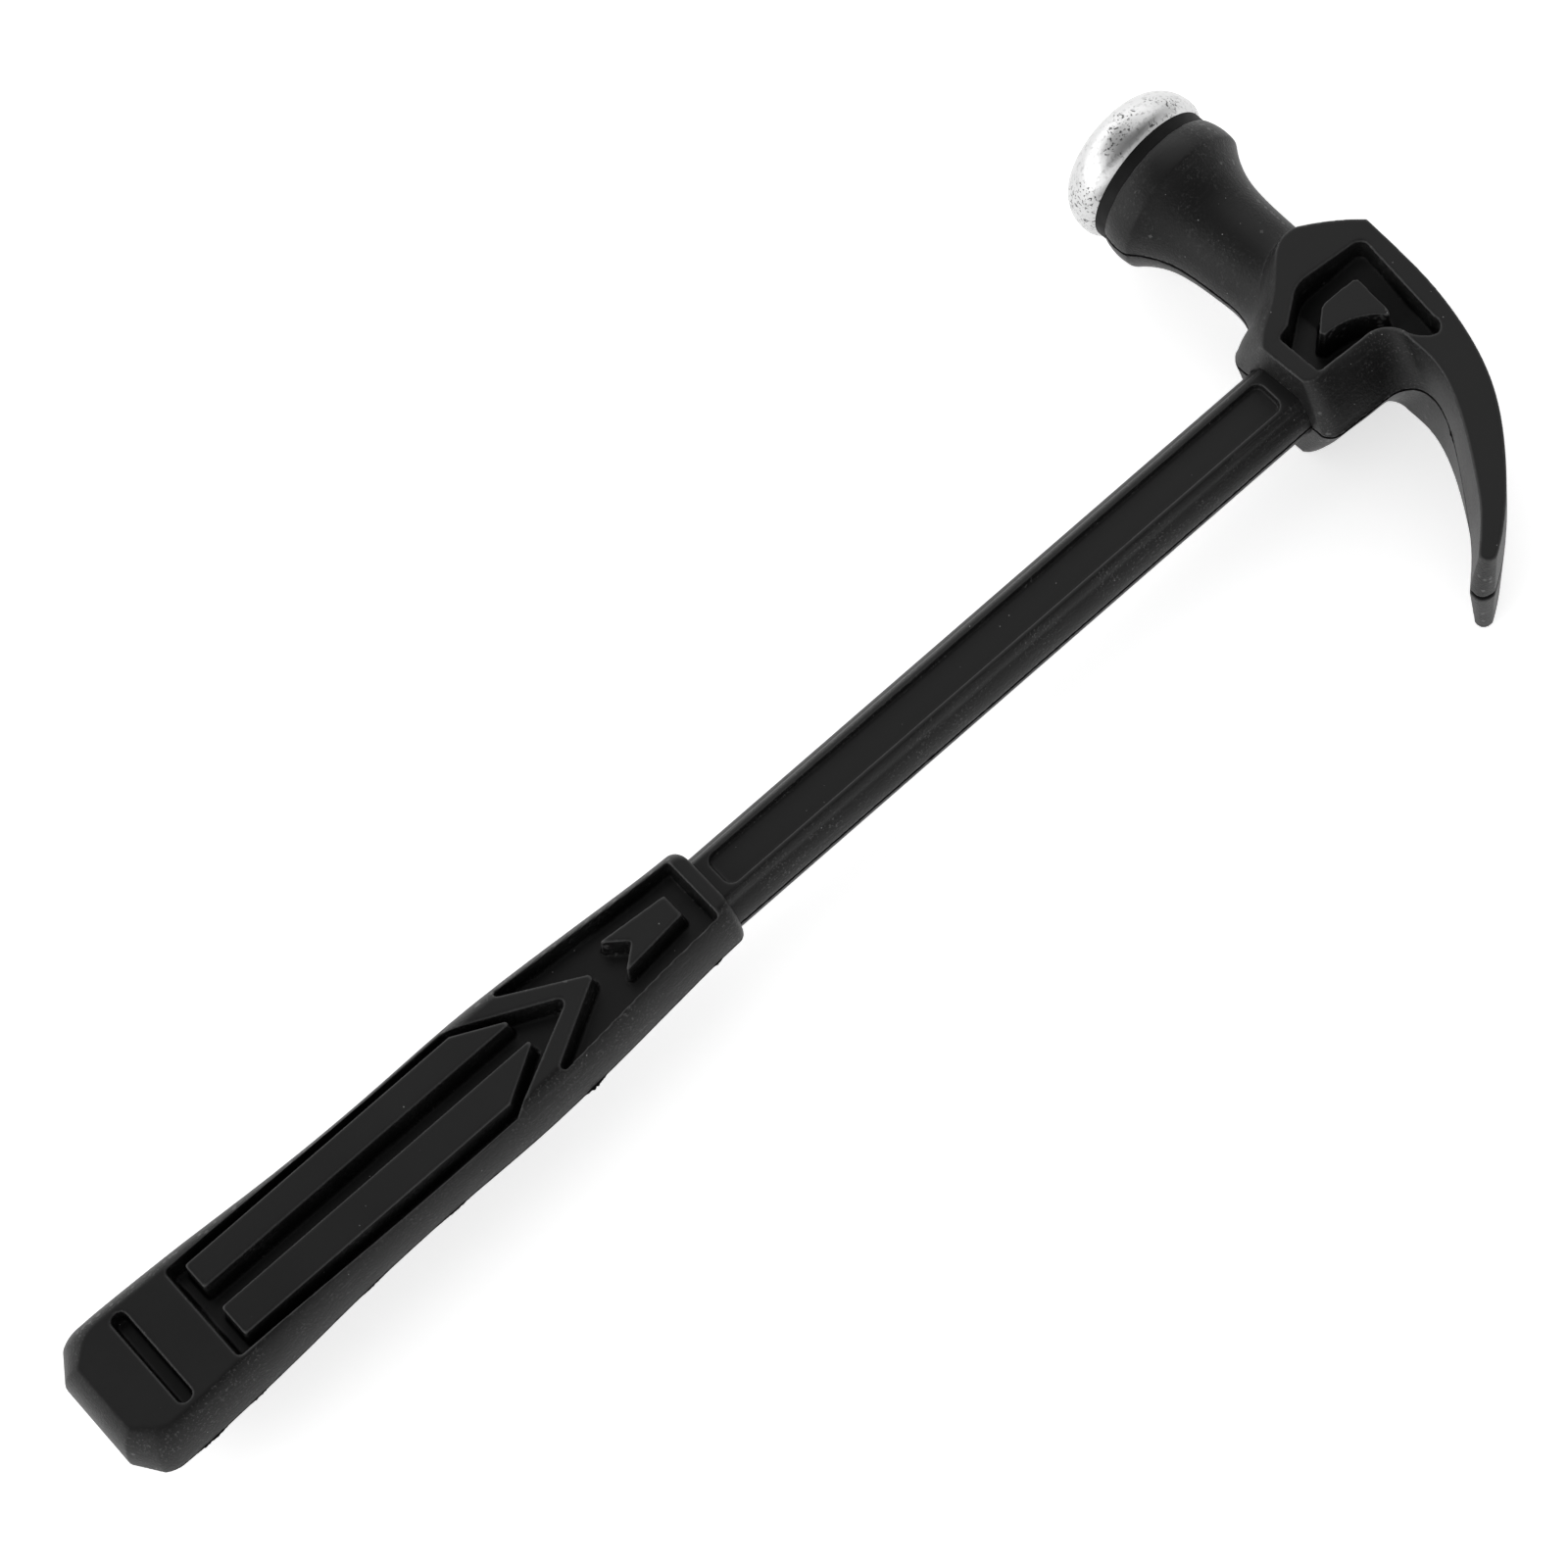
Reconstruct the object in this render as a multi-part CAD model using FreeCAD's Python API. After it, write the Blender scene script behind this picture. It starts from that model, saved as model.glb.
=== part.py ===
import FreeCAD, Part
import math
import os

# Small claw hammer, lying on its side.  Everything is drawn about the mid-plane of the hammer:
# X runs up the handle to the head, Y runs out to the striking face, Z is the thickness, and x = 0
# is the underside of the socket.  The last step puts the origin at the bottom centre.

Vector = FreeCAD.Vector

# ---------------------------------------------------------------- driving dimensions (mm)
SEAM_HALF = 0.1           # half of the gap between the moulded halves

HEAD_TILT = 3.3           # degrees that the head leans on the handle
HEAD_HALF = 10.2          # half thickness of the cheek and claw
CHEEK_FLOOR = 4.1         # height of the floor of the cheek pocket above the mid-plane
CHEEK_RAMP = 13.0         # degrees that the floor climbs towards the top of the head
CHEEK_RAMP_START = 9.0
ISLAND_TOP = 9.9
POCKET_DRAFT = 0.35       # how far a pocket's wall leans in from rim to floor
CLAW_SLOT_ROOT = 0.15     # half width of the slot between the tines, at its root
CLAW_SLOT_TIP = 0.65      # and at the tips
CLAW_SLOT_START = -16.0   # where the slot starts, along the head
CLAW_SLOT_END = -39.0

POLL_X = 12.24            # height of the poll's axis above the socket's underside
POLL_FRONT = 32.6         # front of the poll's flange
COLLAR_RADIUS = 9.7
COLLAR_THICKNESS = 1.8
FACE_RADIUS = 10.5
FACE_THICKNESS = 8.2
CROWN_HALF_WIDTH = 7.4
CROWN_RISE = 1.6
STUD_RADIUS = 2.5
STUD_REACH = 5.0          # how deep the stud sits in the core and in the face
NECK_CORE_RADIUS = 4.2

SHAFT_RADIUS = 5.15
SHAFT_FLAT = 4.85         # height of the shaft's front land above the mid-plane
SHAFT_PANEL_HALF = 2.45
SHAFT_PANEL_DEPTH = 1.05
SHAFT_PANEL_START = -93.3
SHAFT_PANEL_END = -1.5
SOCKET_BORE_DEPTH = 2.0   # how far the shaft cover enters the socket and the collar
COLLAR_BORE_DEPTH = 1.2

GRIP_TOP = -95.0          # upper end of the grip
GRIP_BUTT = -192.0        # butt end
GRIP_HALF = 6.8           # half thickness of the grip
GRIP_FLOOR = 3.0          # floor of the grip's windows
FLANK_ROUND = 3.1         # how far the rounded flank comes in between the seam and the face
FLANK_SLOPE = 0.03        # and its lean at the seam
REAR_FLANK_ROUND = 2.0
REAR_FLANK_SLOPE = 0.33
FLANK_END_ANGLE = 80.0    # degrees of the flank's quarter round before the flat face
COLLAR_CORNER = 1.4       # radius of the corners of the grip's upper end
REAR_WINDOW_WIDTH = 0.9   # width of the rear half's windows, as a share of the front half's
BAR_TOP = 7.1

ROD_RADIUS = 3.0
SPIGOT_RADIUS = 2.2
TANG_HALF_THICKNESS = 1.8
TANG_HALF_WIDTH = 3.4
TANG_END = -166.0
CORE_HALF = 3.4           # half thickness of the head core's eye block
PIN_RADIUS = 0.9
PEG_RADIUS = 1.0
PEG_HALF = 2.4

X_AXIS = Vector(1, 0, 0)
Y_AXIS = Vector(0, 1, 0)
Z_AXIS = Vector(0, 0, 1)
ORIGIN = Vector(0, 0, 0)


# ---------------------------------------------------------------- small helpers
def lift(points, z):
    return [Vector(x, y, z) for x, y in points]


def spline(points, z, start=None, end=None):
    """A smooth edge through the points, with the end directions where they are given."""
    curve = Part.BSplineCurve()
    if start and end:
        curve.interpolate(Points=lift(points, z), InitialTangent=Vector(*start, 0),
                          FinalTangent=Vector(*end, 0))
    else:
        curve.interpolate(lift(points, z))
    return curve.toShape()


def line(a, b, z):
    return Part.makeLine(Vector(a[0], a[1], z), Vector(b[0], b[1], z))


def polygon(points, z):
    corners = lift(points, z)
    return Part.makePolygon(corners + corners[:1])


def rounded(points, z, radius):
    """A closed outline of straight sides whose corners are rounded."""
    corners = lift(points, z)
    edges = []
    ends = []
    for i, corner in enumerate(corners):
        to_last = (corners[i - 1] - corner).normalize()
        to_next = (corners[(i + 1) % len(corners)] - corner).normalize()
        half_turn = to_last.getAngle(to_next) / 2
        inset = radius / math.tan(half_turn)
        centre = corner + (to_last + to_next).normalize() * (radius / math.sin(half_turn))
        middle = centre + (corner - centre).normalize() * radius
        ends.append((corner + to_last * inset, middle, corner + to_next * inset))
    for i, (first, middle, last) in enumerate(ends):
        edges.append(Part.Arc(first, middle, last).toShape())
        edges.append(Part.makeLine(last, ends[(i + 1) % len(ends)][0]))
    return Part.Wire(edges)


def path(steps, z):
    """A closed outline: each step is a point for a straight side, or (middle, end) for an arc."""
    here = Vector(*steps[0], z)
    edges = []
    for step in steps[1:]:
        if isinstance(step[0], tuple):
            middle, end = (Vector(*point, z) for point in step)
            edges.append(Part.Arc(here, middle, end).toShape())
        else:
            end = Vector(*step, z)
            edges.append(Part.makeLine(here, end))
        here = end
    return Part.Wire(edges)


def prism(wire, height):
    return Part.Face(wire).extrude(Vector(0, 0, height))


def pocket(rim, floor, draft=POCKET_DRAFT):
    """A pocket's space under its rim: the walls lean in towards the floor."""
    depth = rim.BoundBox.ZMax - floor
    base = rim.makeOffset2D(-draft)
    base.translate(Vector(0, 0, -depth))
    mouth = rim.makeOffset2D(draft / depth)
    mouth.translate(Z_AXIS)
    return Part.makeLoft([base, mouth], True, True)


def raised(crest, floor, draft=POCKET_DRAFT):
    """A bar or island that stands in a pocket, a little wider at its foot."""
    foot = crest.makeOffset2D(draft)
    foot.translate(Vector(0, 0, floor - 0.3 - crest.BoundBox.ZMax))
    return Part.makeLoft([foot, crest], True, True)


def rod(start, direction, radius, length):
    return Part.makeCylinder(radius, length, Vector(*start), Vector(*direction))


def block(x0, x1, y0, y1, z0, z1):
    return Part.makeBox(x1 - x0, y1 - y0, z1 - z0, Vector(x0, y0, z0))


def mirrored(points):
    return [(x, -y) for x, y in reversed(points)]


def fuse_all(shapes):
    return shapes[0].fuse(shapes[1:]).removeSplitter()


def cut_all(body, tools):
    return body.cut(tools).removeSplitter()


def other_half(shape):
    return shape.mirror(ORIGIN, Z_AXIS)


# ---------------------------------------------------------------- head, in its own untilted frame
# Each point of the head's outline is given at the seam and at the front face, both as (x, y).
UNDERSIDE = [((0.0, 7.4), (0.3, 3.1)), ((0.1, -7.2), (0.4, -3.4))]
SOCKET_FLANK = [
    ((0.1, -7.2), (0.4, -3.4)), ((1.1, -8.5), (1.2, -4.25)), ((3.5, -9.0), (3.8, -4.5)),
    ((8.0, -9.5), (7.8, -4.85)), ((10.8, -9.95), (10.9, -5.35)), ((12.5, -11.2), (12.8, -6.5)),
    ((13.15, -13.3), (13.55, -9.2))]
CLAW_INSIDE = [
    ((13.15, -13.3), (13.55, -9.2)), ((12.6, -15.8), (13.4, -12.8)), ((9.7, -20.6), (10.8, -19.6)),
    ((3.7, -28.1), (4.8, -28.2)), ((-3.1, -34.5), (-2.4, -35.1))]
CLAW_TIP = [
    ((-3.1, -34.5), (-2.4, -35.1)), ((-3.1, -36.3), (-2.3, -36.2)), ((-1.3, -37.1), (-1.0, -36.8))]
CLAW_BACK = [
    ((-1.3, -37.1), (-1.0, -36.8)), ((3.6, -34.2), (3.5, -34.0)), ((9.9, -28.9), (9.6, -28.6)),
    ((17.1, -19.6), (16.7, -19.3)), ((20.8, -9.0), (20.4, -8.9)), ((22.6, 6.1), (22.2, 5.9))]
BROW = [
    ((22.6, 6.1), (22.2, 5.9)), ((19.8, 9.3), (19.3, 8.8)), ((16.4, 12.4), (15.5, 11.6))]
NECK_SIDE = [
    ((16.4, 12.4), (15.5, 11.6)), ((12.2, 13.2), (12.1, 11.5)), ((8.0, 11.4), (9.6, 9.6)),
    ((4.6, 8.9), (6.4, 7.0)), ((1.6, 8.9), (2.6, 4.9)), ((0.0, 7.4), (0.3, 3.1))]
SECTION_LEVELS = [0.0, 0.35, 0.62, 0.82, 0.94, 1.0]


def round_law(level):
    """Share of the inset of a rounded flank at a level between the seam, 0, and the face, 1."""
    fullness = 0.96
    drop = 1 - math.sqrt(1 - (fullness * level) ** 2)
    return drop / (1 - math.sqrt(1 - fullness ** 2))


def head_section(level):
    """The head's outline at one level, as one closed wire of seven edges."""
    z = level * HEAD_HALF

    def at(pairs, roundness):
        points = []
        for (seam, face), share in zip(pairs, roundness):
            law = level + (round_law(level) - level) * share
            points.append((seam[0] + (face[0] - seam[0]) * law, seam[1] + (face[1] - seam[1]) * law))
        return points

    straight = [0.0] * 9
    under = at(UNDERSIDE, straight)
    root = at(SOCKET_FLANK, [0.0, 0.15, 0.25, 0.35, 0.3, 0.15, 0.0])
    neck = at(NECK_SIDE, [1.0, 1.0, 1.0, 1.0, 0.6, 0.0])
    brow = at(BROW, [0.0, 0.0, 1.0])
    edges = [
        line(under[0], under[1], z),
        spline(root, z),
        spline(at(CLAW_INSIDE, straight), z, (0, -4), (-9, -7)),
        spline(at(CLAW_TIP, straight), z),
        spline(at(CLAW_BACK, straight), z, (8, 4), (1.2, 15)),
        spline(brow, z),
        spline(neck, z),
    ]
    return Part.Wire(edges)


def poll_solid():
    """Poll, neck and the flare at the neck's root, turned about the poll's axis."""
    profile = [
        (6.0, 8.9), (8.2, 8.5), (10.0, 7.4), (12.0, 6.75), (16.0, 6.65), (20.5, 6.95),
        (23.8, 7.6), (26.3, 8.7), (28.5, 10.25)]
    neck = Part.BSplineCurve()
    neck.interpolate([Vector(POLL_X + r, y, 0) for y, r in profile])
    band_back = Vector(POLL_X + 10.25, 28.5, 0)
    band_crest = Vector(POLL_X + 10.35, 30.4, 0)
    band_front = Vector(POLL_X + 9.85, POLL_FRONT, 0)
    edges = [
        neck.toShape(),
        Part.Arc(band_back, band_crest, band_front).toShape(),
        Part.makeLine(band_front, Vector(POLL_X, POLL_FRONT, 0)),
        Part.makeLine(Vector(POLL_X, POLL_FRONT, 0), Vector(POLL_X, 6.0, 0)),
        Part.makeLine(Vector(POLL_X, 6.0, 0), Vector(POLL_X + 8.9, 6.0, 0)),
    ]
    return Part.Face(Part.Wire(edges)).revolve(Vector(POLL_X, 0, 0), Y_AXIS, 360)


CHEEK_POCKET = [
    (3.3, -4.1), (9.6, -4.85), ((12.7, -5.85), (14.1, -8.1)), ((15.2, -10.5), (16.5, -11.2)),
    ((17.6, -10.6), (17.8, -9.3)), (19.6, 3.0), ((19.5, 4.1), (18.6, 4.8)), (11.5, 5.95),
    ((9.6, 5.9), (8.0, 5.1)), (4.9, 3.1), (3.2, 2.8), (2.85, 2.4), (2.85, -3.5), ((2.95, -3.95), (3.3, -4.1))]
CHEEK_ISLAND = [
    (14.4, -5.15), ((11.7, -2.55), (7.1, -1.15)), (6.8, -0.45), (9.5, 1.7), (10.4, 1.9),
    (14.9, 1.5), (15.4, 1.0), (14.8, -4.6), (14.4, -5.15)]
HEAD_PEG_PLACES = [(4.8, 29.8), (19.6, 29.8), (4.4, 6.6), (4.2, -6.2)]
PIN_PLACES = [(11.2, 0.0), (12.5, -4.6)]


def core_eye():
    """The block of the head core that takes the rod's spigot and the fork's tongue."""
    bar = rod((POLL_X, 6.0, 0), (0, 1, 0), NECK_CORE_RADIUS, POLL_FRONT - 6.0)
    neck = block(POLL_X - 3.4, POLL_X + 3.4, 5.0, 8.0, -CORE_HALF, CORE_HALF)
    eye = block(5.6, 18.0, -6.0, 6.0, -CORE_HALF, CORE_HALF)
    return fuse_all([bar, neck, eye])


def prong(low):
    """One prong of the claw fork, 3 mm thick: it follows the tine, well inside its skin."""
    outer = Part.Arc(*lift([(18.0, -9.0), (15.0, -19.0), (5.2, -30.8)], low)).toShape()
    inner = Part.Arc(*lift([(4.2, -29.6), (10.8, -21.9), (14.6, -12.0)], low)).toShape()
    ends = [line((5.2, -30.8), (4.2, -29.6), low), line((14.6, -12.0), (14.6, -9.0), low),
            line((14.6, -9.0), (18.0, -9.0), low)]
    return prism(Part.Wire([outer, ends[0], inner, ends[1], ends[2]]), 3.0)


def fork_solid():
    bridge = block(14.6, 18.0, -12.0, -6.0, -3.2, 3.2)
    tongue = block(10.0, 17.0, -6.0, -3.0, -1.3, 1.3)
    return fuse_all([prong(1.6), prong(-4.6), bridge, tongue])


def head_half():
    sections = [head_section(level) for level in SECTION_LEVELS]
    cheek = Part.makeLoft(sections, True, False)
    poll = poll_solid().common(block(-10, 40, 0, 60, 0, HEAD_HALF + 5))
    body = cheek.fuse(poll).removeSplitter()
    hollow = pocket(path(CHEEK_POCKET, HEAD_HALF), CHEEK_FLOOR, 0.3)
    ramp = block(0, 20, -20, 20, -20, 0)
    ramp.rotate(ORIGIN, Y_AXIS, -CHEEK_RAMP)
    ramp.translate(Vector(CHEEK_RAMP_START, 0, CHEEK_FLOOR))
    island = raised(path(CHEEK_ISLAND, ISLAND_TOP), CHEEK_FLOOR)
    body = body.cut(hollow.cut(ramp)).fuse(island)
    slot = Part.makePolygon([
        Vector(0, CLAW_SLOT_START, -1), Vector(0, CLAW_SLOT_START, CLAW_SLOT_ROOT),
        Vector(0, CLAW_SLOT_END, CLAW_SLOT_TIP), Vector(0, CLAW_SLOT_END, -1),
        Vector(0, CLAW_SLOT_START, -1)])
    slot = Part.Face(slot).extrude(Vector(50, 0, 0))
    slot.translate(Vector(-20, 0, 0))
    return cut_all(body, [slot, block(-30, 60, -60, 60, -5, SEAM_HALF)])


# ---------------------------------------------------------------- shaft and grip
def shaft_section():
    """Half of the shaft cover's section in the YZ plane: round flanks and a flat front land."""
    land = 2.9
    shoulder = (3.75, 3.55)
    flank_y = math.sqrt(SHAFT_RADIUS ** 2 - SEAM_HALF ** 2)
    right = [Vector(0, y, z) for y, z in (
        (land, SHAFT_FLAT), (3.4, 4.35), shoulder, (4.85, 1.9), (flank_y, SEAM_HALF))]
    left = [Vector(0, -p.y, p.z) for p in right]
    edges = [
        Part.makeLine(left[0], right[0]),
        Part.Arc(right[0], right[1], right[2]).toShape(),
        Part.Arc(right[2], right[3], right[4]).toShape(),
        Part.makeLine(right[4], left[4]),
        Part.Arc(left[4], left[3], left[2]).toShape(),
        Part.Arc(left[2], left[1], left[0]).toShape(),
    ]
    return Part.Face(Part.Wire(edges))


def shaft_half():
    start = GRIP_TOP - COLLAR_BORE_DEPTH
    body = shaft_section().extrude(Vector(SOCKET_BORE_DEPTH - start, 0, 0))
    body.translate(Vector(start, 0, 0))
    corners = [
        (SHAFT_PANEL_START, SHAFT_PANEL_HALF), (SHAFT_PANEL_START, -SHAFT_PANEL_HALF),
        (SHAFT_PANEL_END, -SHAFT_PANEL_HALF), (SHAFT_PANEL_END, SHAFT_PANEL_HALF)]
    panel = pocket(rounded(corners, SHAFT_FLAT, 1.3), SHAFT_FLAT - SHAFT_PANEL_DEPTH, 0.15)
    return cut_all(body, [panel, rod((start - 1, 0, 0), (1, 0, 0), ROD_RADIUS, 110)])


# Half width of the grip at the seam, along its length from the butt to the collar.
GRIP_WIDTHS = [
    (-187.0, 10.5), (-180.0, 10.4), (-170.0, 9.95), (-160.0, 9.3), (-152.0, 8.95),
    (-144.0, 8.82), (-137.0, 8.88), (-130.0, 8.93), (-124.0, 8.75), (-118.0, 8.4),
    (-110.0, 7.8), (-103.0, 7.25), (-95.0, 6.9)]
BUTT_CORNER = [(-192.0, 6.1), (-189.6, 9.7), (-188.4, 10.3), (-187.0, 10.5)]
WINDOW_LOWER = [
    (-174.4, -7.15), (-174.4, 7.15), (-131.3, 7.3), (-117.0, 0.0), (-131.3, -7.3)]
WINDOW_UPPER_SIDE = [(-97.0, 4.85), (-106.0, 5.35), (-125.2, 6.95)]
CHEVRON_APEX = (-112.8, 0.0)
GRIP_ISLAND = [
    (-100.2, 1.65), (-109.9, 2.55), (-107.0, 0.15), (-107.0, -0.15), (-109.9, -2.55),
    (-100.2, -1.65)]
GRIP_BARS = [
    [(-172.1, 2.1), (-123.6, 2.1), (-130.8, 5.85), (-172.1, 5.85)],
    [(-172.1, -5.65), (-130.9, -5.65), (-123.3, -1.15), (-172.1, -1.15)]]
BUTT_SLOT = [(-183.1, -7.05), (-183.1, 7.05), (-180.95, 7.05), (-180.95, -7.05)]
GRIP_PEG_PLACES = [(-186.8, 0.0), (-177.8, 5.0), (-177.8, -5.0), (-124.0, 4.8), (-124.0, -4.8)]
TANG_PIN_PLACES = [(-150.0, 0.0), (-115.2, 0.0)]


def grip_outline(z, inset):
    """The grip's outline at one height, drawn in from the seam's outline by the inset."""
    sides = [(x + inset * 0.1, w - inset) for x, w in GRIP_WIDTHS[1:-1]]
    butt, chamfer, bend, start = [(x + inset * 0.95, y - inset) for x, y in BUTT_CORNER]
    butt = (butt[0], BUTT_CORNER[0][1] - inset * 0.45)
    width = GRIP_WIDTHS[-1][1] - inset
    before = (GRIP_TOP - COLLAR_CORNER, width)
    swing = COLLAR_CORNER * (1 - math.sqrt(0.5))
    middle = (GRIP_TOP - swing, width - swing)
    top = (GRIP_TOP, width - COLLAR_CORNER)
    left = [start] + sides + [before]
    edges = [
        line(butt, chamfer, z),
        Part.Arc(*lift([chamfer, bend, start], z)).toShape(),
        spline(left, z, (10, 0.2), (10, -0.3)),
        Part.Arc(*lift([before, middle, top], z)).toShape(),
        line(top, (top[0], -top[1]), z),
        Part.Arc(*lift(mirrored([before, middle, top]), z)).toShape(),
        spline(mirrored(left), z, (-10, -0.3), (-10, 0.2)),
        Part.Arc(*lift(mirrored([chamfer, bend, start]), z)).toShape(),
        line((chamfer[0], -chamfer[1]), (butt[0], -butt[1]), z),
        line((butt[0], -butt[1]), butt, z),
    ]
    return Part.Wire(edges)


def grip_blank(roundness, slope):
    """The grip's half without its pockets: a flank that rounds over into the flat face."""
    steps = 6
    height = GRIP_HALF / math.sin(math.radians(FLANK_END_ANGLE))
    levels = []
    for i in range(steps + 1):
        angle = math.radians(FLANK_END_ANGLE * i / steps)
        z = height * math.sin(angle)
        levels.append(grip_outline(z, slope * z + roundness * (1 - math.cos(angle))))
    return Part.makeLoft(levels, True, False)


def upper_window():
    side = WINDOW_UPPER_SIDE
    return side + [CHEVRON_APEX] + mirrored(side)


def grip_half(roundness, slope, window_width):
    def window(corners, radius):
        corners = [(x, y * window_width) for x, y in corners]
        return pocket(rounded(corners, GRIP_HALF, radius), GRIP_FLOOR)

    body = grip_blank(roundness, slope)
    hollows = [
        window(WINDOW_LOWER, 0.7),
        window(upper_window(), 0.5),
        pocket(rounded(BUTT_SLOT, GRIP_HALF, 0.95), GRIP_HALF - 3.0, 0.1),
    ]
    bars = [raised(rounded(bar, BAR_TOP, 0.3), GRIP_FLOOR) for bar in GRIP_BARS]
    bars.append(raised(rounded(GRIP_ISLAND, GRIP_HALF, 0.12), GRIP_FLOOR))
    body = body.cut(hollows).fuse(bars)
    shaft_end = shaft_section().extrude(Vector(COLLAR_BORE_DEPTH, 0, 0))
    shaft_end.translate(Vector(GRIP_TOP - COLLAR_BORE_DEPTH, 0, 0))
    return cut_all(body, [shaft_end, block(-200, 0, -20, 20, -5, SEAM_HALF)])


# ---------------------------------------------------------------- inner pieces
def core_rod():
    """Round rod with a spigot for the head core and a flat tang for the grip."""
    start = GRIP_TOP - COLLAR_BORE_DEPTH
    shank = rod((start, 0, 0), (1, 0, 0), ROD_RADIUS, 5.6 - start)
    spigot = rod((5.6, 0, 0), (1, 0, 0), SPIGOT_RADIUS, 9.4)
    tang = block(TANG_END, start, -TANG_HALF_WIDTH, TANG_HALF_WIDTH,
                 -TANG_HALF_THICKNESS, TANG_HALF_THICKNESS)
    return fuse_all([shank, spigot, tang])


def pins(places, radius, half):
    return [rod((x, y, -half), (0, 0, 1), radius, 2 * half) for x, y in places]


def stud():
    length = 2 * STUD_REACH + COLLAR_THICKNESS
    return rod((POLL_X, POLL_FRONT - STUD_REACH, 0), (0, 1, 0), STUD_RADIUS, length)


def face_collar():
    ring = rod((POLL_X, POLL_FRONT, 0), (0, 1, 0), COLLAR_RADIUS, COLLAR_THICKNESS)
    return ring.cut(stud())


def striking_face():
    """Domed disc: a rounded back edge, a thick rim and a crowned front."""
    back = POLL_FRONT + COLLAR_THICKNESS

    def at(radius, y):
        return Vector(POLL_X + radius, y, 0)

    corner = at(FACE_RADIUS - 0.8, back)
    widest = at(FACE_RADIUS, back + 2.0)
    brow = at(CROWN_HALF_WIDTH, back + FACE_THICKNESS - CROWN_RISE)
    edges = [
        Part.Arc(corner, at(FACE_RADIUS - 0.2, back + 0.8), widest).toShape(),
        Part.Arc(widest, at(FACE_RADIUS - 0.75, back + 4.6), brow).toShape(),
        Part.makeLine(brow, at(0, brow.y)),
        Part.makeLine(at(0, brow.y), at(0, back)),
        Part.makeLine(at(0, back), corner),
    ]
    rim = Part.Face(Part.Wire(edges)).revolve(Vector(POLL_X, 0, 0), Y_AXIS, 360)
    radius = (CROWN_HALF_WIDTH ** 2 + CROWN_RISE ** 2) / (2 * CROWN_RISE)
    edge_angle = math.degrees(math.acos(CROWN_HALF_WIDTH / radius))
    centre = Vector(POLL_X, back + FACE_THICKNESS - radius, 0)
    crown = Part.makeSphere(radius, centre, Y_AXIS, edge_angle, 90, 360)
    return rim.fuse(crown).removeSplitter().cut(stud())


def build():
    """Every piece of the hammer, by the name of its node."""
    def tilted(shape):
        return shape.rotated(ORIGIN, Z_AXIS, HEAD_TILT)

    head_pegs = pins(HEAD_PEG_PLACES, PEG_RADIUS, PEG_HALF)
    core_pins = pins(PIN_PLACES, PIN_RADIUS, CORE_HALF)
    eye = core_eye()
    fork = fork_solid()
    spigot = rod((5.6, 0, 0), (1, 0, 0), SPIGOT_RADIUS, 9.4)

    head_tools = [eye, fork, stud()] + head_pegs
    half = cut_all(head_half(), head_tools)
    half = tilted(half)
    bore = shaft_section().extrude(Vector(SOCKET_BORE_DEPTH + 3, 0, 0))
    bore.translate(Vector(-3, 0, 0))
    rod_bore = rod((-5, 0, 0), (1, 0, 0), ROD_RADIUS, 10.6)
    half = cut_all(half, [bore, rod_bore])

    eye = tilted(cut_all(eye, [fork, stud()] + core_pins)).cut(spigot.fuse(rod_bore))
    fork = tilted(cut_all(fork, core_pins))
    core_pins = [tilted(pin) for pin in core_pins]
    shank = core_rod()

    tang_pins = pins(TANG_PIN_PLACES, PIN_RADIUS + 0.3, PEG_HALF)
    grip_pegs = pins(GRIP_PEG_PLACES, PEG_RADIUS, PEG_HALF)
    grip_tools = [shank] + tang_pins + grip_pegs
    grip = cut_all(grip_half(FLANK_ROUND, FLANK_SLOPE, 1.0), grip_tools)
    rear_grip = other_half(grip_half(REAR_FLANK_ROUND, REAR_FLANK_SLOPE, REAR_WINDOW_WIDTH))
    rear_grip = cut_all(rear_grip, grip_tools)
    shank = cut_all(shank, tang_pins + [core_pins[0]])
    shaft = shaft_half()

    return {
        "striking_face": tilted(striking_face()),
        "face_collar": tilted(face_collar()),
        "face_stud": tilted(stud()),
        "head_core": eye,
        "claw_fork": fork,
        "core_pins": Part.makeCompound(core_pins),
        "core_rod": shank,
        "head_pegs": Part.makeCompound([tilted(peg) for peg in head_pegs]),
        "head_shell_front": half,
        "head_shell_rear": other_half(half),
        "shaft_shell_front": shaft,
        "shaft_shell_rear": other_half(shaft),
        "grip_shell_front": grip,
        "grip_shell_rear": rear_grip,
        "grip_pegs": Part.makeCompound(grip_pegs),
        "tang_pins": Part.makeCompound(tang_pins),
    }


pieces = build()
box = Part.makeCompound(list(pieces.values())).optimalBoundingBox(False)
to_bottom_centre = Vector(-box.Center.x, -box.Center.y, -box.ZMin)
os.makedirs("parts", exist_ok=True)
for name, shape in pieces.items():
    shape.translate(to_bottom_centre)
    shape.exportStep("parts/" + name + ".step")
    solids = len(shape.Solids)
    print(f"{name}: {solids} solid(s), {shape.Volume:.0f} mm3, valid {shape.isValid()}")
print("size", [round(v, 2) for v in (box.XLength, box.YLength, box.ZLength)])
print("shift", [round(v, 3) for v in to_bottom_centre])
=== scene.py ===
import math
import random

import bpy
from mathutils import Matrix, Vector


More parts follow.
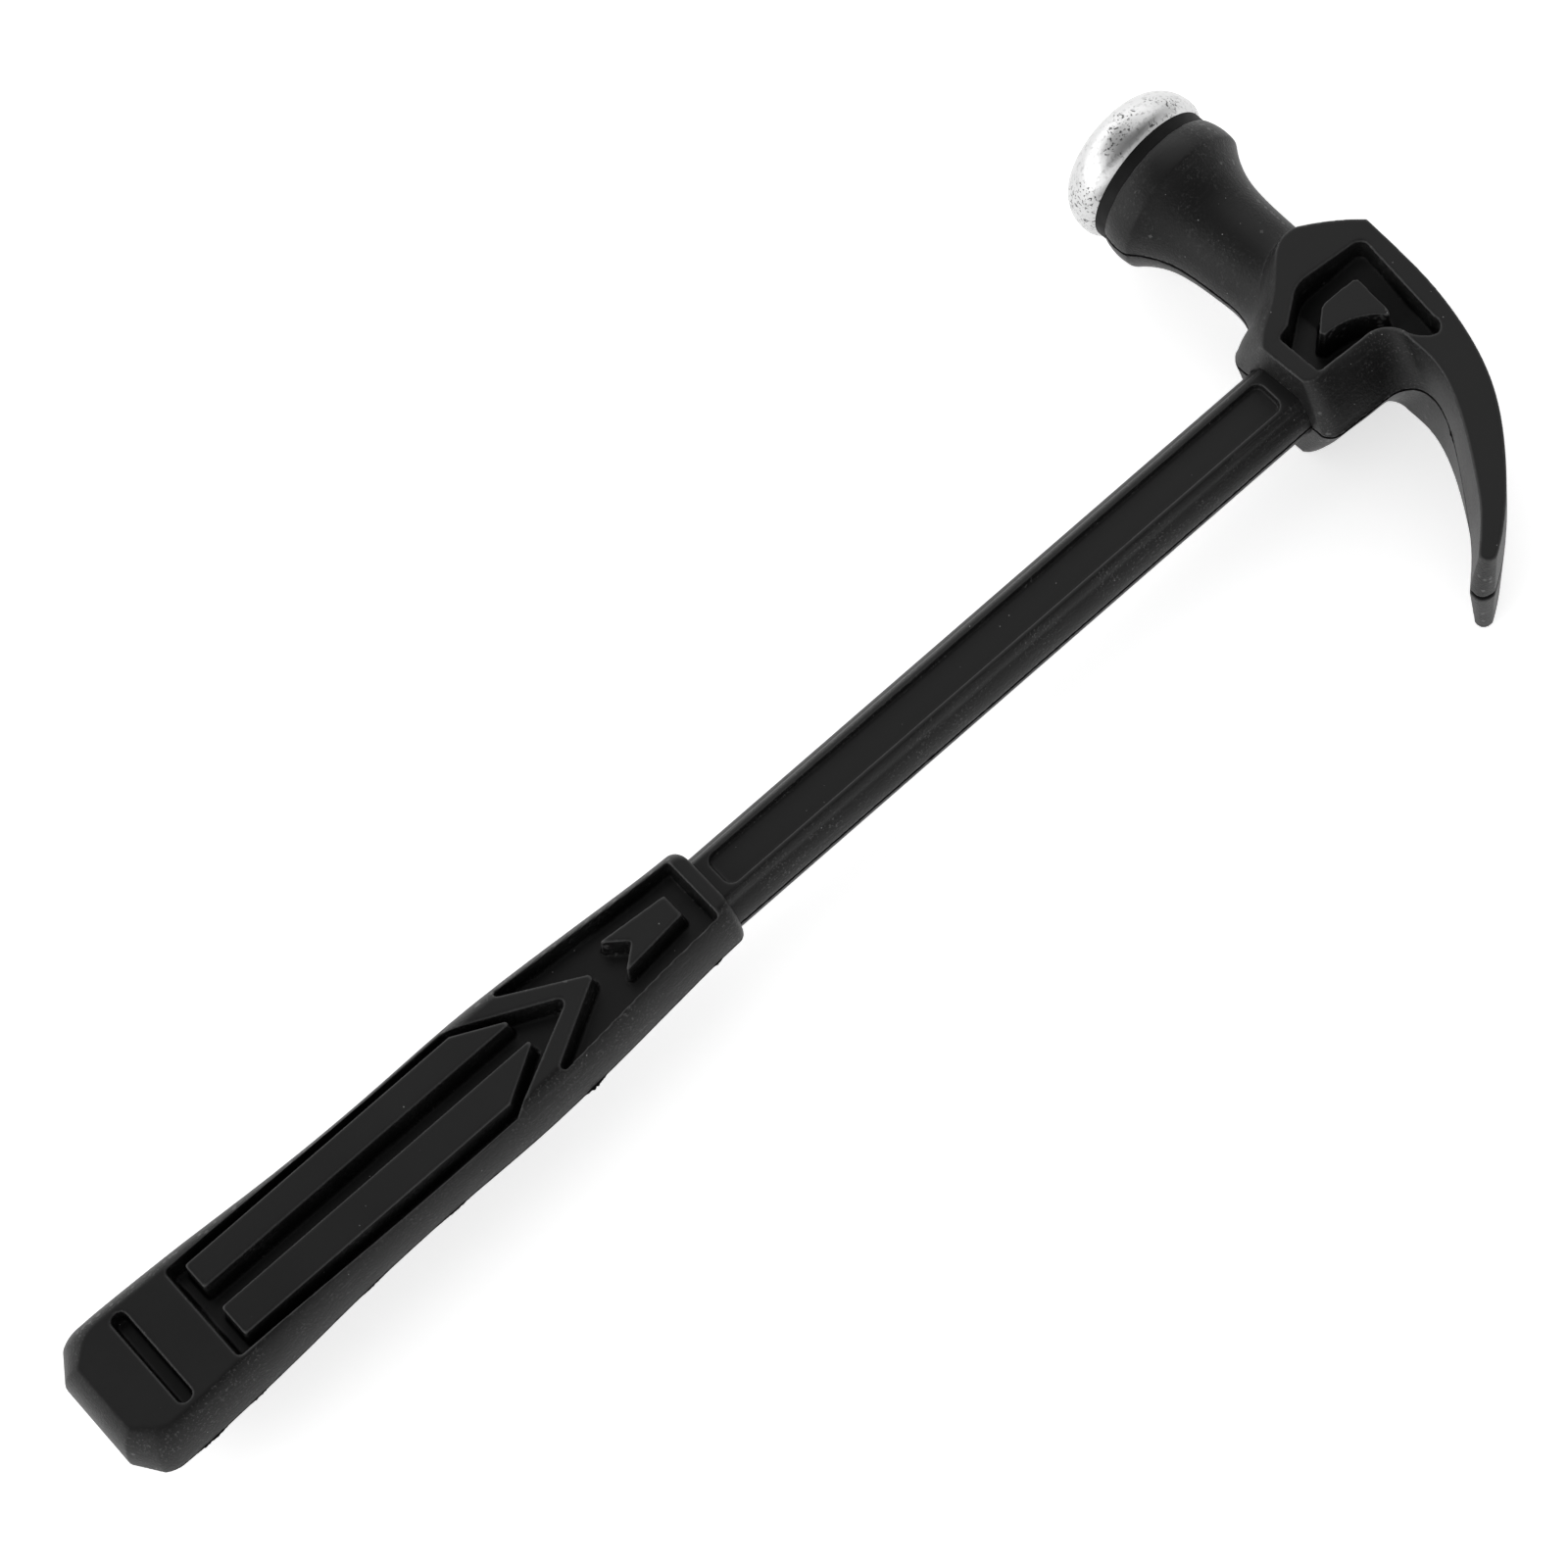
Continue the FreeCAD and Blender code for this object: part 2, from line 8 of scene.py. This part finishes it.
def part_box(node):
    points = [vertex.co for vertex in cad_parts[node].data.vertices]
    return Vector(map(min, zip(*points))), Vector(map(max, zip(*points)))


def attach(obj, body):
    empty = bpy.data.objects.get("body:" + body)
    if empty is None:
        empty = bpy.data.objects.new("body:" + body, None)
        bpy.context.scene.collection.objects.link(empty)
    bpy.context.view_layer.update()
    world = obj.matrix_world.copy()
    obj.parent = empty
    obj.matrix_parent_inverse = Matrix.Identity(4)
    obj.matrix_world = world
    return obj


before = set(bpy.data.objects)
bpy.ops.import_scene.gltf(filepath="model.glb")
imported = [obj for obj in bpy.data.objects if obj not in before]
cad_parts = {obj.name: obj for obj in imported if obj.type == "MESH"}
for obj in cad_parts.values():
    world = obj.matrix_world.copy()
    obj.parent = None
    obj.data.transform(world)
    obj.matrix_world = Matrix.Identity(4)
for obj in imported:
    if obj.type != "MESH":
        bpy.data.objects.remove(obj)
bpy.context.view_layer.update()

MM = 0.001

# The camera looks down on the front of the hammer from beside the grip.  Lengths here and below
# are in millimetres unless a line says otherwise, and angles are in degrees.
CAMERA_AIM = Vector((6.02, 1.747, 10.5))
CAMERA_AZIMUTH = -26.97
CAMERA_ELEVATION = 67.63
CAMERA_ROLL = -15.70
CAMERA_DISTANCE = 623.0
CAMERA_LENS = 116.78
CAMERA_SENSOR = 36.0
CAMERA_CLIP_START = 10.0

SEAM_HEIGHT = 10.511      # of the seam between the moulded halves, above the floor
SEAM_REACH = 0.34         # half the width of the painted shadow line along the seam
COVER_VOXEL = 0.17        # grid of the remesh that rounds the moulded edges
COVER_SMOOTHING = 3       # rounds of smoothing after it

LAND_ROUGHNESS = 0.36     # of the satin flat faces
FLANK_ROUGHNESS = 0.46    # of the grained flanks
PLASTIC_BASE = 0.012      # reflectance of the clean black plastic
PLASTIC_SPECULAR = 0.21
FLANK_START = 0.985       # upright part of the normal where a land begins to count as a flank
FLANK_FULL = 0.90
# Grey of the painted shadow line along the seam.
SEAM_PAINTED_SHADOW = 0.0008
GRAIN_HEIGHT = 0.09

RIM_START = 7.6           # distance from the face's centre where its pitting sets in
RIM_FULL = 8.8

FLOOR_SIZE = 6000.0
FLOOR_DROP = 0.2          # gap that keeps the floor clear of the hammer's lowest face
FLOOR_GLOW = 0.60
KEY_DIRECTION = (-0.75, 0.30, 0.50)
KEY_STRENGTH = 0.3
KEY_ANGLE = 50.0
WALL_LIGHT = 1.45
WALL_LEAN = 0.45          # how much brighter the walls are on the side of WALL_DIRECTION
WALL_DIRECTION = (-0.8, 0.6, 0.0)
WALL_TOP = (0.40, 0.72)   # height on the unit sphere over which the walls fade to the ceiling
CEILING_LIGHT = 0.20
PANEL_LIGHT = 0.9
PANEL_DIRECTION = (0.50, 0.45, 0.74)
PANEL_SPREAD = (0.80, 0.99)   # cosine of the angle from the panel's middle, from dark to full

# Slivers of plastic that the mould left along the seam.  Each is found by looking from a place
# in the plane of the seam along a direction, both as (x, y); then its length and its reach.
FLASH = [
    ("grip_shell_front", (-98.0, -30.0), (0, 1), 5.0, 0.22),
    ("grip_shell_front", (-90.5, -30.0), (0, 1), 3.0, 0.16),
    ("grip_shell_front", (-72.0, -30.0), (0, 1), 4.0, 0.14),
    ("grip_shell_front", (-59.0, -30.0), (0, 1), 5.5, 0.16),
    ("grip_shell_front", (-36.2, -30.0), (0, 1), 3.6, 0.40),
    ("grip_shell_front", (-15.2, -30.0), (0, 1), 1.6, 0.20),
    ("shaft_shell_front", (21.4, -30.0), (0, 1), 1.8, 0.22),
    ("head_shell_front", (70.0, 24.6), (1, 0), 1.6, 0.24),
    ("head_shell_front", (75.0, -21.2), (1, 0), 2.0, 0.26),
    ("head_shell_front", (120.0, -33.4), (-1, 0), 1.2, 0.34),
]
FLASH_THICKNESS = 0.12
FLASH_STEP = 0.18
FLASH_ROOT = 0.5          # how deep a sliver starts inside the cover
FLASH_LIFT = 0.05         # how far a torn tip strays up or down
FLASH_TEAR = (0.25, 1.0)  # shortest and longest tip, as a share of the reach


# ---------------------------------------------------------------- node helpers
class Nodes:
    """A material's node tree with a short way to add and link nodes."""

    def __init__(self, name):
        self.material = bpy.data.materials.new(name)
        self.material.use_nodes = True
        self.tree = self.material.node_tree
        self.shader = self.tree.nodes["Principled BSDF"]
        self.coords = self.add("ShaderNodeTexCoord").outputs["Object"]

    def add(self, kind, settings=None, **inputs):
        node = self.tree.nodes.new(kind)
        for key, value in (settings or {}).items():
            setattr(node, key, value)
        for key, value in inputs.items():
            self.put(node.inputs[key.replace("_", " ")], value)
        return node

    def put(self, socket, value):
        if isinstance(value, bpy.types.NodeSocket):
            self.tree.links.new(value, socket)
        else:
            socket.default_value = value

    def noise(self, scale, detail=3.0, roughness=0.55, stretch=1.0):
        """Noise whose scale is in cycles per millimetre, drawn out along X by the stretch."""
        place = self.add("ShaderNodeVectorMath", {"operation": "MULTIPLY"})
        self.put(place.inputs[0], self.coords)
        self.put(place.inputs[1], (1.0 / stretch, 1.0, 1.0))
        return self.add("ShaderNodeTexNoise", Vector=place.outputs[0], Scale=scale / MM,
                        Detail=detail, Roughness=roughness).outputs["Fac"]

    def spots(self, scale, radius):
        """Scattered round spots: the scale is in cells per millimetre, the radius in millimetres."""
        cells = self.add("ShaderNodeTexVoronoi", Vector=self.coords, Scale=scale / MM)
        return self.math("LESS_THAN", cells.outputs["Distance"], radius * scale)

    def math(self, operation, a, b=0.0, clamp=False):
        node = self.add("ShaderNodeMath", {"operation": operation, "use_clamp": clamp})
        self.put(node.inputs[0], a)
        self.put(node.inputs[1], b)
        return node.outputs[0]

    def span(self, value, low, high, to_low=0.0, to_high=1.0):
        node = self.add("ShaderNodeMapRange")
        for index, item in enumerate((value, low, high, to_low, to_high)):
            self.put(node.inputs[index], item)
        return node.outputs[0]

    def mix(self, factor, a, b):
        node = self.add("ShaderNodeMix", {"data_type": "RGBA"})
        for socket, value in zip((node.inputs[0], node.inputs[6], node.inputs[7]), (factor, a, b)):
            self.put(socket, value)
        return node.outputs[2]

    def bump(self, height, distance, strength, normal=None):
        node = self.add("ShaderNodeBump", Height=height, Distance=distance, Strength=strength)
        if normal:
            self.put(node.inputs["Normal"], normal)
        return node.outputs["Normal"]

    def set(self, **inputs):
        for key, value in inputs.items():
            self.put(self.shader.inputs[key.replace("_", " ")], value)
        return self.material


def grey(value):
    return (value, value, value, 1.0)


# ---------------------------------------------------------------- materials
def moulded_black(name):
    """Black moulding: satin lands, spark-eroded flanks darkened with painted shade, dust, painted
    highlights on sharp edges, and a painted shadow line along the seam.
    """
    n = Nodes(name)
    geometry = n.add("ShaderNodeNewGeometry")
    facing = n.add("ShaderNodeSeparateXYZ", Vector=geometry.outputs["True Normal"])
    flank = n.span(n.math("ABSOLUTE", facing.outputs["Z"]), FLANK_START, FLANK_FULL)
    cloud = n.noise(0.05, 4.0)
    patches = n.span(n.noise(0.16, 3.0), 0.42, 0.60)
    grain = n.noise(2.8, 2.0, 0.7)
    pits = n.noise(5.0, 1.0, 0.5)
    frost = n.math("MULTIPLY", n.span(grain, 0.57, 0.66), n.math("MULTIPLY", flank, patches))
    streaks = n.math("MULTIPLY", n.span(n.noise(1.2, 3.0, 0.7, stretch=14.0), 0.57, 0.70), flank)
    dust = n.math("MULTIPLY", n.spots(0.6, 0.07), n.span(n.noise(0.09), 0.42, 0.5))
    # Painted highlight: sharp edges, found by their pointiness, get a lighter grey as if they caught
    # the light.
    edge = n.span(geometry.outputs["Pointiness"], 0.515, 0.56)
    height = n.add("ShaderNodeSeparateXYZ", Vector=n.coords).outputs["Z"]
    off_seam = n.math("ABSOLUTE", n.math("SUBTRACT", height, SEAM_HEIGHT * MM))
    reach = n.span(n.noise(1.1, 2.0), 0.3, 0.7, SEAM_REACH * 0.6 * MM, SEAM_REACH * 1.3 * MM)
    seam = n.math("LESS_THAN", off_seam, reach)

    colour = n.mix(cloud, grey(PLASTIC_BASE * 0.8), grey(PLASTIC_BASE * 1.3))
    # Painted shade: the flanks, whose normals turn away from upright, are made darker than the lands.
    colour = n.mix(n.math("MULTIPLY", flank, 0.5), colour, grey(PLASTIC_BASE * 0.15))
    # Of these marks, the edge mask lays on a painted highlight; streaks, frost and dust are the
    # moulding's own marks.
    for mask, amount, shade in ((streaks, 0.55, 0.028), (frost, 0.8, 0.06), (edge, 0.8, 0.075),
                                (dust, 0.8, 0.35)):
        colour = n.mix(n.math("MULTIPLY", mask, amount), colour, grey(shade))
    # Painted shadow: a band on either side of the seam's height is made near black.
    colour = n.mix(seam, colour, grey(SEAM_PAINTED_SHADOW))
    rough = n.math("ADD", n.span(cloud, 0.3, 0.7, LAND_ROUGHNESS - 0.03, LAND_ROUGHNESS + 0.04),
                   n.math("MULTIPLY", flank, FLANK_ROUGHNESS - LAND_ROUGHNESS))
    rough = n.math("ADD", rough, n.math("MULTIPLY", n.math("SUBTRACT", grain, 0.5), 0.2))
    rough = n.math("MAXIMUM", rough, seam)
    wave = n.bump(n.noise(0.35, 2.0), 0.05 * MM, 0.2)
    skin = n.bump(pits, 0.012 * MM, 0.4, wave)
    strength = n.math("ADD", n.math("MULTIPLY", flank, 0.8), 0.05)
    return n.set(Base_Color=colour, Roughness=rough, Specular_IOR_Level=PLASTIC_SPECULAR,
                 Normal=n.bump(grain, GRAIN_HEIGHT * MM, strength, skin))


def bright_steel():
    """Bright plated steel: smudged, with fine pitting and clusters of dark pits round its rim."""
    n = Nodes("bright_steel")
    low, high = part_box("striking_face")
    centre = (Vector(low) + Vector(high)) / 2
    away = n.add("ShaderNodeVectorMath", {"operation": "DISTANCE"})
    n.put(away.inputs[0], n.coords)
    n.put(away.inputs[1], centre)
    smudge = n.noise(0.12, 3.0)
    band = n.span(away.outputs["Value"], RIM_START * MM, RIM_FULL * MM)
    pitted = n.math("MULTIPLY", n.span(n.noise(1.3, 4.0, 0.75), 0.52, 0.66), band)
    clusters = n.math("MULTIPLY", n.span(n.noise(0.3, 2.0), 0.50, 0.57), band)
    pits = n.math("MULTIPLY", n.span(n.noise(2.6, 2.0, 0.6), 0.56, 0.62), clusters)
    colour = n.mix(smudge, grey(0.52), grey(0.66))
    colour = n.mix(n.math("MULTIPLY", pitted, 0.5), colour, grey(0.25))
    colour = n.mix(n.math("MULTIPLY", pits, 0.9), colour, grey(0.03))
    rough = n.span(smudge, 0.3, 0.7, 0.28, 0.40)
    blotches = n.bump(n.noise(0.7, 4.0, 0.7), 0.05 * MM, 0.35)
    rim_strength = n.math("MULTIPLY", band, 0.6)
    return n.set(Base_Color=colour, Metallic=1.0, Roughness=rough,
                 Normal=n.bump(n.noise(2.4, 2.0), 0.03 * MM, rim_strength, blotches))


def dark_enamel():
    """Dull black of the ring behind the face and of the pegs."""
    n = Nodes("dark_enamel")
    return n.set(Base_Color=n.mix(n.noise(0.6), grey(0.002), grey(0.004)), Specular_IOR_Level=0.15,
                 Roughness=n.span(n.noise(0.4), 0.3, 0.7, 0.55, 0.7))


def flash_black():
    """Plastic torn thin, darker than the moulding round it."""
    n = Nodes("flash_black")
    return n.set(Base_Color=n.mix(n.noise(1.5), grey(0.002), grey(0.006)), Roughness=0.6,
                 Specular_IOR_Level=0.2)


def hidden_steel():
    """Plain steel of the pieces inside the covers."""
    n = Nodes("hidden_steel")
    return n.set(Base_Color=n.mix(n.noise(0.5), grey(0.35), grey(0.5)), Metallic=1.0,
                 Roughness=n.span(n.noise(2.0), 0.3, 0.7, 0.3, 0.5))


def light_table():
    """The pale floor, lit a little from below so that the hammer hardly throws a shadow."""
    n = Nodes("light_table")
    return n.set(Base_Color=n.mix(n.noise(0.01), grey(0.93), grey(0.95)), Roughness=0.9,
                 Specular_IOR_Level=0.1, Emission_Color=grey(1.0), Emission_Strength=FLOOR_GLOW)


# ---------------------------------------------------------------- pieces
def soften(piece):
    """Gives a moulded piece the small radii that its mould leaves on every edge."""
    remesh = piece.modifiers.new("mould_radii", "REMESH")
    remesh.mode = "VOXEL"
    remesh.voxel_size = COVER_VOXEL * MM
    remesh.use_smooth_shade = True
    smooth = piece.modifiers.new("mould_skin", "SMOOTH")
    smooth.factor = 0.5
    smooth.iterations = COVER_SMOOTHING
    for polygon in piece.data.polygons:
        polygon.use_smooth = True


def paint(piece, material):
    """Gives a piece one material in place of any it has."""
    piece.data.materials.clear()
    piece.data.materials.append(material)


def seam_points(node, place, direction, length):
    """Points on a cover's edge at the seam, over a length, as seen from a place along a direction."""
    look = Vector((*direction, 0))
    along = Vector((direction[1], -direction[0], 0))
    count = round(length / FLASH_STEP)
    points = []
    for i in range(count + 1):
        shift = along * (i / count - 0.5) * length
        start = (Vector((*place, SEAM_HEIGHT + 0.3)) + shift) * MM
        hit, point, _, _ = node.ray_cast(start, look)
        if hit:
            points.append(Vector((point.x, point.y, SEAM_HEIGHT * MM)))
    return points


def add_flash():
    """Thin torn slivers of plastic that stand out of the seam, as one piece."""
    chance = random.Random(11)
    rise = Vector((0, 0, FLASH_THICKNESS / 2)) * MM
    vertices = []
    faces = []
    for name, place, direction, length, reach in FLASH:
        points = seam_points(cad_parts[name], place, direction, length)
        out = -Vector((*direction, 0))
        for i, point in enumerate(points):
            taper = math.sin(math.pi * i / (len(points) - 1))
            tear = reach * taper * chance.uniform(*FLASH_TEAR)
            lift = chance.uniform(-FLASH_LIFT, FLASH_LIFT)
            inner = point - out * FLASH_ROOT * MM
            tip = point + (out * tear + Vector((0, 0, lift))) * MM
            first = len(vertices)
            vertices += [inner - rise, tip - rise / 2, tip + rise / 2, inner + rise]
            corners = range(4)
            if i:
                faces += [[first - 4 + a, first - 4 + (a + 1) % 4, first + (a + 1) % 4, first + a]
                          for a in corners]
            if i in (0, len(points) - 1):
                faces.append([first + a for a in (corners if i else reversed(corners))])
    mesh = bpy.data.meshes.new("seam_flash")
    mesh.from_pydata(vertices, [], faces)
    piece = bpy.data.objects.new("seam_flash", mesh)
    bpy.context.scene.collection.objects.link(piece)
    paint(piece, flash_black())
    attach(piece, "root")


def dress_frame():
    """Paints every CAD node and softens the moulded ones."""
    head = moulded_black("head_black_moulding")
    shaft = moulded_black("shaft_black_moulding")
    grip = moulded_black("grip_black_moulding")
    steel = hidden_steel()
    black = dark_enamel()
    looks = {
        "head_shell": head, "shaft_shell": shaft, "grip_shell": grip,
        "head_pegs": black, "grip_pegs": black, "face_collar": black,
        "striking_face": bright_steel(),
    }
    for name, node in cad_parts.items():
        look = next((m for start, m in looks.items() if name.startswith(start)), steel)
        paint(node, look)
        if "_shell" in name:
            soften(node)


# ---------------------------------------------------------------- studio
def add_floor():
    """A square of floor, far larger than the view."""
    mesh = bpy.data.meshes.new("floor")
    half = FLOOR_SIZE / 2 * MM
    mesh.from_pydata([(-half, -half, 0), (half, -half, 0), (half, half, 0), (-half, half, 0)],
                     [], [(0, 1, 2, 3)])
    floor = bpy.data.objects.new("floor", mesh)
    bpy.context.scene.collection.objects.link(floor)
    floor.location.z = -FLOOR_DROP * MM
    paint(floor, light_table())


def add_key():
    """A broad weak sun from the upper left."""
    data = bpy.data.lights.new("key", "SUN")
    data.energy = KEY_STRENGTH
    data.angle = math.radians(KEY_ANGLE)
    light = bpy.data.objects.new("key", data)
    bpy.context.scene.collection.objects.link(light)
    back = Vector(KEY_DIRECTION).normalized()
    turn = back.to_track_quat("Z", "Y").to_matrix().to_4x4()
    light.matrix_world = Matrix.Translation(KEY_DIRECTION) @ turn


def add_world():
    """White walls up to half height, a dark ceiling, and a soft panel beyond the head."""
    world = bpy.data.worlds.new("studio")
    world.use_nodes = True
    tree = world.node_tree
    background = tree.nodes["Background"]
    background.inputs["Color"].default_value = (1.0, 1.0, 1.0, 1.0)
    direction = tree.nodes.new("ShaderNodeTexCoord").outputs["Generated"]
    split = tree.nodes.new("ShaderNodeSeparateXYZ")
    tree.links.new(direction, split.inputs[0])

    def fade(source, start, end, start_value, end_value):
        node = tree.nodes.new("ShaderNodeMapRange")
        node.interpolation_type = "SMOOTHSTEP"
        for index, value in enumerate((start, end, start_value, end_value), 1):
            node.inputs[index].default_value = value
        tree.links.new(source, node.inputs[0])
        return node.outputs[0]

    def along(axis):
        node = tree.nodes.new("ShaderNodeVectorMath")
        node.operation = "DOT_PRODUCT"
        tree.links.new(direction, node.inputs[0])
        node.inputs[1].default_value = Vector(axis).normalized()
        return node.outputs["Value"]

    def combine(operation, a, b):
        node = tree.nodes.new("ShaderNodeMath")
        node.operation = operation
        tree.links.new(a, node.inputs[0])
        tree.links.new(b, node.inputs[1])
        return node.outputs[0]

    walls = fade(split.outputs["Z"], *WALL_TOP, WALL_LIGHT, CEILING_LIGHT)
    lean = fade(along(WALL_DIRECTION), -1.0, 1.0, 1.0 - WALL_LEAN, 1.0 + WALL_LEAN)
    panel = fade(along(PANEL_DIRECTION), *PANEL_SPREAD, 0.0, PANEL_LIGHT)
    light = combine("ADD", combine("MULTIPLY", walls, lean), panel)
    tree.links.new(light, background.inputs["Strength"])
    bpy.context.scene.world = world


def add_camera():
    """The camera, turned about its own axis by the roll."""
    data = bpy.data.cameras.new("camera")
    data.lens = CAMERA_LENS
    data.sensor_width = CAMERA_SENSOR
    data.clip_start = CAMERA_CLIP_START * MM
    camera = bpy.data.objects.new("camera", data)
    bpy.context.scene.collection.objects.link(camera)
    turn = (Matrix.Rotation(math.radians(CAMERA_AZIMUTH), 4, "Z")
            @ Matrix.Rotation(math.radians(90 - CAMERA_ELEVATION), 4, "X")
            @ Matrix.Rotation(math.radians(CAMERA_ROLL), 4, "Z"))
    back = turn.col[2].xyz
    place = (CAMERA_AIM + back * CAMERA_DISTANCE) * MM
    camera.matrix_world = Matrix.Translation(place) @ turn
    bpy.context.scene.camera = camera


add_flash()
dress_frame()
add_floor()
add_key()
add_world()
add_camera()
bpy.context.scene.view_settings.view_transform = "Standard"
